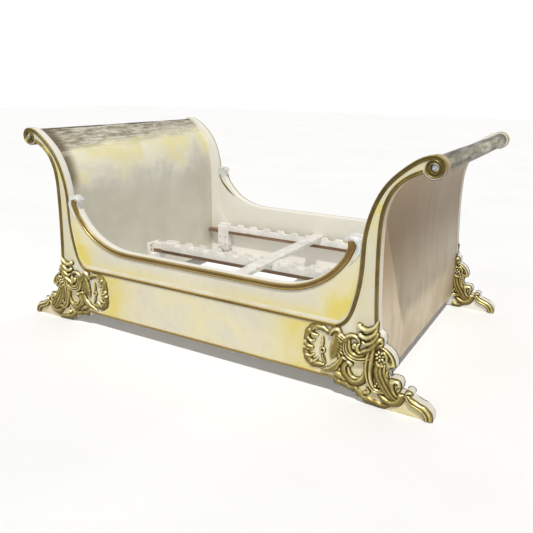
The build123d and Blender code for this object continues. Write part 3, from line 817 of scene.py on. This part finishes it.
class Relief:
    """A carved surface over a patch of the (x, z) plane."""

    def __init__(self, low, high, step=1.5):
        self.xs = np.arange(low[0], high[0] + step, step)
        self.zs = np.arange(low[1], high[1] + step, step)
        self.h = np.full((len(self.xs), len(self.zs)), -9.0)

    def window(self, low, high):
        i0, i1 = np.searchsorted(self.xs, (low[0], high[0]))
        j0, j1 = np.searchsorted(self.zs, (low[1], high[1]))
        cut = np.s_[max(i0 - 1, 0) : i1 + 1, max(j0 - 1, 0) : j1 + 1]
        x, z = np.meshgrid(self.xs[cut[0]], self.zs[cut[1]], indexing="ij")
        return cut, x, z

    def stroke(self, points, width, height, form="round", lobes=0, depth=0.25, ribs=0):
        """A stem, leaf or scroll along a smooth path. Width and height are lists along the path; lobes
        swell and pinch its edge, and ribs cross it."""
        line = resample(spline(points, step=2.5), 1.6)
        width = [FULLNESS * w for w in width]
        height = [LIFT * h for h in height]
        reach = max(width) + 5
        cut, x, z = self.window(line.min(0) - reach, line.max(0) + reach)
        t = np.linspace(0, 1, len(line))
        way = np.gradient(line, axis=0)
        way /= np.linalg.norm(way, axis=1)[:, None]
        px, pz = x.ravel(), z.ravel()
        near = np.empty(len(px), int)
        for k in range(0, len(px), 20000):
            d2 = (px[k : k + 20000, None] - line[:, 0]) ** 2 + (pz[k : k + 20000, None] - line[:, 1]) ** 2
            near[k : k + 20000] = d2.argmin(1)
        dx, dz = px - line[near, 0], pz - line[near, 1]
        side = np.sign(way[near, 0] * dz - way[near, 1] * dx)
        dist = np.hypot(dx, dz)
        tt = t[near]
        w = np.interp(tt, np.linspace(0, 1, len(width)), width)
        if lobes:
            w = w * (1 - depth + depth * np.abs(np.sin(math.pi * lobes * tt)))
        top = np.interp(tt, np.linspace(0, 1, len(height)), height)
        u = dist / np.maximum(w, 0.5)
        if form == "round":
            shape = 1 - u ** 2.4
        elif form == "leaf":     # raised edges, scooped sides and a vein
            shape = (1 - u ** 4) * (0.62 + 0.30 * np.cos(2 * math.pi * np.clip(u, 0, 1)) * (u < 1))
        elif form == "crest":    # one high edge, on the path's left
            s = np.clip(u, 0, 1) * side
            shape = (1 - u ** 3) * (0.66 + 0.34 * s)
        elif form == "smooth":   # a broad leaf with a flat, slightly dished face
            shape = (1 - u ** 5) * (0.82 + 0.12 * np.clip(u, 0, 1) ** 2)
        else:                    # groove: a double roll
            shape = (1 - u ** 3) * (1 - 0.42 * np.exp(-((u / 0.20) ** 2)))
        if ribs:
            shape = shape * (1 - 0.20 * np.abs(np.sin(math.pi * ribs * tt + 1.3 * u)) * np.clip(2 * u, 0, 1))
        h = top * shape
        slope = 2.4 * top / np.maximum(w, 0.5)
        h = np.where(u > 1, -(dist - w) * np.minimum(slope, 3), h)
        self.raise_to(cut, h.reshape(x.shape))

    def blob(self, centre, radius, height, squeeze=1.0, turn=0.0):
        """A rounded boss, longer along its turned axis if squeezed."""
        cut, x, z = self.window(np.array(centre) - radius - 3, np.array(centre) + radius + 3)
        a = math.radians(turn)
        dx, dz = x - centre[0], z - centre[1]
        along, across = dx * math.cos(a) + dz * math.sin(a), -dx * math.sin(a) + dz * math.cos(a)
        u = np.hypot(along, across / squeeze) / radius
        self.raise_to(cut, np.where(u > 1, -(u - 1) * radius * 2, height * (1 - u ** 2.6)))

    def cup(self, centre, radius, depth):
        """A round hollow cut into what is there."""
        cut, x, z = self.window(np.array(centre) - radius, np.array(centre) + radius)
        u = np.hypot(x - centre[0], z - centre[1]) / radius
        self.h[cut] = np.where(u < 1, self.h[cut] - depth * (1 - u * u), self.h[cut])

    def raise_to(self, cut, h):
        self.h[cut] = np.maximum(self.h[cut], h)

    def keep_inside(self, outline, falloff=4.0):
        """Rounds the carving down to the board's edge."""
        x, z = np.meshgrid(self.xs, self.zs, indexing="ij")
        p = np.array(outline, float)
        q = np.roll(p, -1, 0)
        best = np.full(x.shape, 1e9)
        inside = np.zeros(x.shape, bool)
        for (ax, az), (bx, bz) in zip(p, q):
            length = max((bx - ax) ** 2 + (bz - az) ** 2, 1e-9)
            t = np.clip(((x - ax) * (bx - ax) + (z - az) * (bz - az)) / length, 0, 1)
            best = np.minimum(best, (x - ax - t * (bx - ax)) ** 2 + (z - az - t * (bz - az)) ** 2)
            if az != bz:
                crosses = ((az > z) != (bz > z)) & (x < (bx - ax) * (z - az) / (bz - az) + ax)
                inside ^= crosses
        d = np.sqrt(best) * np.where(inside, 1, -1)
        lip = 11 * np.sqrt(np.clip(d, 0, None) / falloff)
        self.h = np.where(d > 0, np.where(d < falloff * 4, np.minimum(self.h, lip), self.h), d)

    def blurred(self, passes):
        h = np.maximum(self.h, 0)
        for _ in range(passes):
            for axis in (0, 1):
                h = (np.roll(h, 1, axis) + 2 * h + np.roll(h, -1, axis)) / 4
        return h

    def mesh(self, base=FACE_Y, out=-1, x_from=-np.inf, x_to=np.inf):
        """What stands above the board between two x, as a part, and its ridge attribute."""
        soft = np.maximum(self.h, -1.2)
        for axis in (0, 1, 0, 1):
            soft = (np.roll(soft, 1, axis) + 3 * soft + np.roll(soft, -1, axis)) / 5
        ridge = np.clip((soft - self.blurred(26)) / 3.2, -1, 1) * 0.7 + np.clip(soft / 16, 0, 1) * 0.3
        up = soft > 0
        cell = up[:-1, :-1] | up[1:, :-1] | up[:-1, 1:] | up[1:, 1:]
        mid_x = (self.xs[:-1] + self.xs[1:]) / 2
        i, j = np.nonzero(cell & ((mid_x > x_from) & (mid_x <= x_to))[:, None])
        rows = len(self.zs)
        a = i * rows + j
        quads = np.stack([a, a + rows, a + rows + 1, a + 1], 1)
        used, back = np.unique(quads, return_inverse=True)
        quads = back.reshape(quads.shape)
        gx, gz = np.meshgrid(self.xs, self.zs, indexing="ij")
        y = -base + out * soft
        verts = np.stack([gx, y, gz], 2).reshape(-1, 3)[used]
        if out > 0:
            quads = quads[:, ::-1]
        return (verts, quads.tolist(), ()), ridge.ravel()[used]


art = Relief((648, -2), (1346, 440))

# cartouche: a leafy frame round a white field
for points, w, h, lobes in (
    ([(760, 350), (728, 346), (698, 326), (682, 292), (678, 255)],
     [9, 13, 14, 13, 11], [12, 18, 19, 18, 15], 4),
    ([(676, 258), (690, 238), (712, 236)], [9, 10, 6], [17, 16, 12], 0),
    ([(672, 228), (694, 222), (716, 228)], [9, 9, 5], [17, 15, 10], 0),
    ([(678, 222), (680, 188), (702, 158), (740, 146), (776, 152)],
     [10, 15, 17, 16, 8], [15, 19, 20, 19, 12], 4),
    ([(724, 340), (752, 346), (782, 338), (806, 320)], [9, 12, 12, 7], [14, 18, 17, 12], 3),
    ([(698, 326), (716, 306), (740, 304)], [8, 8, 4], [18, 16, 11], 0),
    ([(690, 282), (706, 268), (724, 272)], [7, 7, 4], [16, 15, 10], 0),
    ([(684, 190), (706, 186), (722, 198)], [7, 7, 4], [17, 15, 10], 0),
    ([(712, 158), (732, 166), (744, 180)], [7, 7, 4], [18, 15, 10], 0),
):
    art.stroke(points, w, h, "crest" if lobes else "round", lobes=lobes, depth=0.22)
art.stroke([(766, 304), (767, 278), (766, 252)], [4, 8, 7], [6, 12, 12], lobes=2)
art.stroke([(768, 208), (774, 186), (788, 162)], [6, 9, 3], [9, 13, 9], "leaf", lobes=2)
for k in range(9):
    a = math.radians(40 * k + 15)
    art.blob((768 + 11 * math.cos(a), 230 + 12 * math.sin(a)), 7.5, 12)
art.cup((768, 230), 8, 9)
art.blob((768, 230), 4.5, 9)

# the tall smooth leaf on the cartouche's right, with its lobes
art.stroke([(838, 352), (840, 322), (838, 282), (830, 242), (816, 200)],
           [8, 15, 20, 19, 6], [16, 19, 18, 16, 9],
           "smooth", lobes=3, depth=0.14)
art.stroke([(806, 322), (826, 350), (846, 356), (858, 338)], [7, 10, 10, 6], [15, 20, 20, 14])
art.stroke([(850, 318), (868, 300), (880, 312)], [9, 9, 5], [18, 17, 12])
art.stroke([(842, 340), (862, 330), (884, 318), (902, 322)], [8, 10, 9, 6], [17, 19, 17, 12], "groove")
for k in range(4):   # ribs of the shell between the leaf and the C-scroll
    z = 296 - 16 * k
    art.stroke([(858, z + 4), (868, z - 6), (884, z - 14)], [5.5, 6, 3], [12, 14, 9])
art.stroke([(846, 262), (850, 232), (858, 204), (852, 176)], [8, 10, 9, 5], [14, 16, 14, 10], "crest")

# long leaf that sweeps down to the left under the cartouche
art.stroke([(880, 222), (860, 190), (838, 158), (800, 132), (764, 120)],
           [6, 11, 13, 12, 4], [11, 16, 18, 16, 9],
           "smooth", lobes=3, depth=0.2)
art.stroke([(878, 216), (902, 208), (890, 190)], [6, 7, 4], [13, 13, 9])
art.stroke([(828, 132), (858, 122), (892, 104)], [8, 12, 8], [12, 14, 12])

# C-scroll with its bud
art.stroke([(874, 292), (892, 322), (922, 338), (946, 330), (956, 308)],
           [7, 10, 11, 10, 6], [14, 19, 21, 20, 14],
           "crest")
art.stroke([(888, 306), (888, 268), (904, 240), (936, 226), (970, 228), (1002, 242), (1022, 272)],
           [8, 11, 12, 12, 12, 11, 8], [15, 19, 20, 20, 20, 19, 15], "groove")
art.stroke([(904, 312), (908, 278), (926, 250), (956, 246), (984, 258)],
           [6, 9, 10, 9, 6], [12, 15, 16, 15, 12])
art.blob((934, 288), 17, 20, 1.25)
art.cup((934, 292), 6, 4)
art.stroke([(954, 304), (948, 284), (958, 266), (982, 272)], [6, 8, 8, 5], [16, 18, 17, 13])

# fan of leaves from the foot of the outer bead
for points, w, h in (
    ([(1042, 446), (1034, 418), (1014, 396), (986, 386), (954, 396)], [5, 8, 9, 10, 9], [10, 17, 19, 21, 20]),
    ([(1042, 414), (1032, 382), (1012, 358), (986, 347), (960, 354)],
     [6, 9, 10, 10, 9], [12, 18, 20, 21, 20]),
    ([(1042, 380), (1032, 348), (1010, 324), (984, 316), (972, 324)],
     [7, 10, 10, 9, 6], [12, 18, 20, 20, 14]),
    ([(1040, 350), (1030, 318), (1008, 292), (980, 276), (958, 262)],
     [8, 11, 11, 9, 5], [13, 18, 20, 18, 12]),
):
    art.stroke(points, w, h)
    beside_leaf = [(x + 3, z - 10) for x, z in points[:-1]]
    art.stroke(beside_leaf, [0.5 * a for a in w[:-1]], [0.8 * a for a in h[:-1]])
art.blob((952, 399), 16, 22)
art.blob((960, 356), 15, 22)

# S-stem with berries in its curl
art.stroke([(1030, 352), (1020, 300), (1010, 240), (1008, 180), (1018, 130), (1038, 98), (1062, 88),
            (1084, 100), (1082, 116)],
           [10, 14, 17, 18, 17, 14, 12, 9, 5], [13, 18, 20, 20, 20, 20, 19, 16, 12], "groove")
for centre in ((1050, 114), (1068, 118), (1056, 128)):
    art.blob(centre, 8.5, 17)

# crescent that cradles the C-scroll from below
art.stroke([(902, 200), (884, 176), (884, 146), (906, 116), (942, 100), (976, 116), (996, 150), (1002, 200)],
           [11, 13, 14, 15, 15, 14, 11, 5], [17, 20, 20, 20, 20, 19, 16, 10], "crest")
art.stroke([(908, 204), (920, 196), (914, 182)], [9, 9, 5], [20, 19, 13])
art.stroke([(908, 172), (916, 146), (938, 126), (962, 130)], [5, 8, 8, 4], [12, 15, 14, 9])

# flower beside the stem, with the scroll on its right
for k in range(7):
    a = math.radians(360 / 7 * k + 10)
    art.blob((1062 + 17 * math.cos(a), 270 + 19 * math.sin(a)), 12.5, 17, 0.72, math.degrees(a))
art.blob((1062, 270), 9, 20)
art.cup((1062, 270), 4, 3)
art.stroke([(1044, 300), (1062, 318), (1084, 314), (1104, 296), (1122, 270), (1124, 246), (1106, 238),
            (1098, 252)],
           [7, 12, 13, 13, 13, 12, 10, 6], [12, 18, 20, 20, 21, 21, 19, 12], "crest")
art.stroke([(1040, 320), (1046, 340), (1058, 350), (1068, 342)], [7, 10, 11, 7], [13, 18, 20, 13])
art.stroke([(1078, 292), (1092, 276), (1094, 252)], [6, 9, 6], [13, 16, 13])
art.stroke([(1046, 236), (1056, 222), (1074, 220)], [6, 9, 6], [11, 14, 11])

# fronds that fall from the flower over the foot
for points, w, h in (
    ([(1052, 240), (1044, 196), (1056, 148), (1084, 104), (1122, 66), (1150, 48)],
     [8, 11, 12, 12, 11, 6], [12, 17, 19, 19, 18, 10]),
    ([(1066, 234), (1062, 190), (1078, 148), (1104, 108), (1136, 72), (1158, 60)],
     [7, 10, 12, 12, 11, 6], [12, 18, 20, 21, 19, 12]),
    ([(1084, 226), (1082, 192), (1100, 152), (1122, 118), (1146, 88), (1166, 76)],
     [6, 9, 11, 11, 10, 6], [11, 16, 19, 20, 19, 12]),
    ([(1068, 72), (1092, 52), (1128, 42), (1160, 54), (1176, 82), (1174, 116), (1158, 142)],
     [8, 12, 13, 14, 13, 12, 7], [12, 17, 19, 20, 20, 18, 13]),
):
    art.stroke(points, w, h, "crest")
art.stroke([(1130, 120), (1126, 146), (1138, 166), (1158, 164), (1164, 146), (1152, 138)],
           [8, 11, 12, 11, 9, 5], [15, 19, 21, 21, 18, 12])
art.stroke([(1072, 84), (1088, 90), (1104, 82)], [7, 9, 5], [13, 15, 10])

# the leaf over the toe and the moulding along the toe's top edge
art.stroke([(1170, 104), (1194, 112), (1214, 122), (1232, 116)], [7, 10, 10, 5], [13, 17, 17, 10], "leaf")
art.stroke([(1180, 98), (1202, 98), (1217, 82), (1240, 68), (1268, 59), (1290, 46), (1305, 26), (1310, 2)],
           [6, 10, 14, 14, 14, 15, 15, 13], [10, 13, 15, 15, 15, 15, 15, 14], "groove")
art.stroke(beside(chain(*scalloped(bracket)), 7)[::6], [6], [11])

# gilded, scalloped edge of the apron
art.stroke([(838, 100), (852, 80), (884, 80), (918, 68), (948, 66), (974, 44), (1004, 28), (1032, 24),
            (1060, 18), (1096, 16), (1124, 24)], [7, 15, 14, 13, 14, 14, 15, 13, 12, 11, 5],
           [8, 13, 14, 14, 14, 14, 14, 13, 12, 11, 6], "crest", lobes=7, depth=0.22, ribs=7)
art.stroke([(1000, 62), (1016, 74), (1010, 88)], [8, 9, 5], [12, 13, 8])

art.keep_inside(chain(
    [(600, UNDERSIDE + 3), (836, UNDERSIDE + 3)], *scalloped(apron), [(1048, 0)], *scalloped(toe),
    *scalloped(bracket), [(1045, 470), (600, 470)],
))
SPLITS = {"cartouche": (-np.inf, 842), "scroll_mount": (842, 1000), "leaf_spray": (1000, np.inf)}
outer = {key: art.mesh(x_from=a, x_to=b) for key, (a, b) in SPLITS.items()}
inner_side, inner_ridge = art.mesh(base=INNER_Y, out=1, x_from=1048)
for corner_name, mirror in CORNERS.items():
    for key, (part, ridge) in outer.items():
        nodes = [f"{key}_{corner_name}"] + ([f"acanthus_{corner_name}"] if key == "leaf_spray" else [])
        add(f"{corner_name}_{key}_carving", part, CARVED, mirror, nodes, ridge=ridge, sharp=180)
    add(f"{corner_name}_inner_carving", inner_side, CARVED, mirror, ridge=inner_ridge, sharp=180)

# ---- slat support ----


NOTCHES, NOTCH_PITCH = 13, 125.0
NOTCH_HALF, BAR_NOTCH_HALF = 30.0, 47.0
# a notch's side from hump to floor: how far outside the notch's half-width, and how high
NOTCH_SIDE = [(9, 369.0), (3, 365.0), (0, 356.0), (-2, 350.5), (-6, 348.6)]


def comb_outline():
    """A strip with a row of shallow notches between its humps; the middle one holds the crossbar."""
    points = [(-890.0, 306.0), (890.0, 306.0), (890.0, 360.0), (884.0, 368.0)]
    for i in range(NOTCHES - 1, -1, -1):
        x = (i - NOTCHES // 2) * NOTCH_PITCH
        half = BAR_NOTCH_HALF if i == NOTCHES // 2 else NOTCH_HALF
        points += [(x + half + out, z) for out, z in NOTCH_SIDE]
        points += [(x - half - out, z) for out, z in NOTCH_SIDE[::-1]]
    points += [(-884.0, 368.0), (-890.0, 360.0)]
    return chain(points)


combs = comb_outline()
ledger = board(rectangle(-PANEL_IN, PANEL_IN, 282, 306), INNER_Y, INNER_Y - 53, 2)
ledger_comb = board(combs, INNER_Y - 35, INNER_Y - 53, 1.5, 2)
for side, mirror in SIDES.items():
    add(f"ledger_batten_{side}", ledger, WOOD, mirror, [f"ledger_{side}"])
    add(f"slat_comb_{side}", ledger_comb, PRIMER, mirror, [f"ledger_comb_{side}"])
beam_combs = joined(board(combs, -20, -38, 1.5, 2), board(combs, 38, 20, 1.5, 2))
add("beam_slat_combs", beam_combs, PRIMER, stands_for=["beam_combs"])
add("beam_timber", board(rectangle(-BEAM_END, BEAM_END, 275, 348), 20, -20), BEAM, stands_for=["centre_beam"])
bar = board(rectangle(-46, 46, 348, 372), 762, -762)
add("crossbar_timber", bar, PRIMER, stands_for=["crossbar"], body="crossbar")

shoe = joined(
    board(rectangle(BEAM_END, PANEL_IN, 230, 348), 65, -65, 2),
    board(rectangle(BEAM_END - 44, BEAM_END + 1, 230, 275), 65, -65, 2),
)
for end, mirror in ENDS.items():
    add(f"{end}_beam_shoe_block", shoe, PRIMER, mirror, [f"beam_shoe_{end}"])

cleats = at_corners(board(rectangle(800, 900, 110, 345), INNER_Y, CLEAT_Y, 3))
add("corner_cleat_blocks", cleats, PRIMER, stands_for=["corner_cleats"])


def screw_head(x, z, y):
    """A round head with a dimple, facing the bed's middle line."""
    profile = [(5, -0.5), (5, 0.9), (4.2, 2.0), (2.6, 2.7), (1.9, 2.8), (1.5, 1.6), (0.5, 1.5)]
    return lathe((x, z), profile, y, out=1, count=20)


cleat_heads = joined(*[screw_head(x, z, -CLEAT_Y) for x in (825, 875) for z in (135, 195, 255)])
add("cleat_screw_heads", at_corners(cleat_heads), STEEL, stands_for=["cleat_screws"])

v, f, flat = screw_head(0, 0, 0)
shoe_heads = joined(*[
    (np.stack([BEAM_END - v[:, 1], y + v[:, 0], z + v[:, 2]], 1), f, flat)
    for y in (-47, 47) for z in (300, 328)
])
add("shoe_screw_heads", whole(shoe_heads), STEEL, stands_for=["shoe_screws"])

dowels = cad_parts["rail_dowels"]
dowels.data.materials.clear()
dowels.data.materials.append(WOOD)

# ---- floor, light and camera ----

k = Look("floor")
tone = k.noise(1.2, 3, 0.5, shift=1)
floor_paint = k.mix(k.ease(tone, 0.3, 0.7), "#f5f6f8", "#f8f9fb")
floor_look = k.finish(floor_paint, 0.75, k.bump(k.noise(60, 3, 0.5), 0.0004))
floor_mesh = bpy.data.meshes.new("floor")
floor_mesh.from_pydata([(-30, -30, 0), (30, -30, 0), (30, 30, 0), (-30, 30, 0)], [], [(0, 1, 2, 3)])
floor_mesh.materials.append(floor_look)
floor = bpy.data.objects.new("floor", floor_mesh)
bpy.context.scene.collection.objects.link(floor)

# a studio whose back wall is white and whose ceiling and other walls are dimmer
world = bpy.data.worlds.new("studio")
world.use_nodes = True
sky = Graph(world.node_tree)
direction = sky.node("ShaderNodeTexCoord").outputs["Generated"]
back_wall = sky.node("ShaderNodeVectorMath", {0: direction, 1: (-0.5, 0.866, 0.0)}, operation="DOT_PRODUCT")
facing_wall = sky.ease(back_wall.outputs["Value"], -0.1, 0.55)
below_ceiling = sky.ease(sky.split(direction)[2], 0.55, 0.30)
WALL_GLOW, ROOM_GLOW = 0.82, 0.22
glow = sky.calc("MULTIPLY_ADD", sky.times(facing_wall, below_ceiling), WALL_GLOW, ROOM_GLOW)
background = sky.tree.nodes["Background"]
background.inputs[0].default_value = (1.0, 0.99, 0.975, 1)
sky.tree.links.new(glow, background.inputs[1])
bpy.context.scene.world = world


def turned_to(x, y, z, place):
    """The matrix of an object whose own axes point these ways."""
    return Matrix([(x[i], y[i], z[i], place[i]) for i in range(3)] + [(0, 0, 0, 1)])


def light(name, source, strength, angle, tint):
    """A distant light whose source lies in a direction given as x, y, z."""
    lamp = bpy.data.lights.new(name, "SUN")
    lamp.energy, lamp.angle, lamp.color = strength, math.radians(angle), tint
    obj = bpy.data.objects.new(name, lamp)
    d = np.array(source, float) / np.linalg.norm(source)
    x = np.cross((0, 1, 0), d)
    x /= np.linalg.norm(x)
    obj.matrix_world = turned_to(x, np.cross(d, x), d, (0, 0, 0))
    bpy.context.scene.collection.objects.link(obj)


light("key", (0.243, -0.404, 0.882), 2.8, 1.5, (1.0, 0.985, 0.955))
light("front_fill", (-0.15, -1.0, 0.3), 0.22, 50, (1.0, 0.98, 0.95))

camera_data = bpy.data.cameras.new("camera")
camera_data.lens, camera_data.sensor_width = 39.307, 36.0
camera_data.clip_start, camera_data.clip_end = 0.05, 200
camera = bpy.data.objects.new("camera", camera_data)
# the camera was fitted to the photograph's long straight edges
azimuth, elevation, camera_roll = math.radians(29.736), math.radians(17.224), 0.01311
back = np.array((
    math.sin(azimuth) * math.cos(elevation), -math.cos(azimuth) * math.cos(elevation), math.sin(elevation),
))
level = np.cross(-back, (0, 0, 1))
level /= np.linalg.norm(level)
upward = np.cross(level, -back)
rightward = math.cos(camera_roll) * level + math.sin(camera_roll) * upward
upward = -math.sin(camera_roll) * level + math.cos(camera_roll) * upward
CAMERA_AT = (1.8203, -3.2286, 1.4653)
camera.matrix_world = turned_to(rightward, upward, back, CAMERA_AT)
bpy.context.scene.collection.objects.link(camera)
bpy.context.scene.camera = camera
bpy.context.scene.view_settings.view_transform = "Standard"
